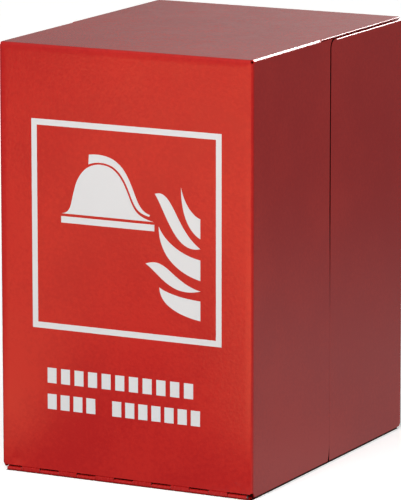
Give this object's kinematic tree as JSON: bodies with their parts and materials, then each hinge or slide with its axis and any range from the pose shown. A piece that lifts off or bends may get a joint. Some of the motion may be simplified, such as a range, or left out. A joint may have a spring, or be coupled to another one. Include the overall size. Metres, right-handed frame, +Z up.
{
  "type": "fire blanket case",
  "caption": "Red sheet-steel case with a folded fire blanket inside; the front and top tip forwards on a piano hinge held shut by a magnetic catch.",
  "frame": {"origin": "under the middle of the case, on the surface it stands on", "axes": "+Z up, -Y out of the front face that carries the sign, +X to the right of a viewer facing the front"},
  "size_m": [0.2, 0.2471, 0.31],
  "materials": {
    "powder_coat": "satin",
    "hinge_coat": "satin",
    "zinc_steel": "satin",
    "black_plastic": "matte",
    "ferrite": "matte",
    "glass_cloth": "matte",
    "webbing": "matte",
    "white_film": "satin"
  },
  "bodies": {
    "case": {"rear_body": "powder_coat", "base_tray": "powder_coat", "hinge_leaf_body": "hinge_coat", "hinge_pin": "zinc_steel", "catch_housing": "black_plastic", "catch_magnet": "ferrite", "catch_pole_plates": "zinc_steel", "catch_studs": "zinc_steel", "catch_washers": "zinc_steel", "catch_nuts": "zinc_steel", "fire_blanket": "glass_cloth", "pull_strap_left": "webbing", "pull_strap_right": "webbing"},
    "cover": {"front_cover": "powder_coat", "hinge_leaf_cover": "hinge_coat", "strike_plate": "zinc_steel", "sign_frame": "white_film", "sign_helmet": "white_film", "sign_flames": "white_film", "caption_blocks": "white_film"}
  },
  "joints": [
    {"name": "cover_hinge", "type": "hinge", "parent": "case", "child": "cover", "pos_m": [0, -0.1219, 0.0018], "axis": [1, 0, 0], "range_deg": [0, 90]}
  ]
}
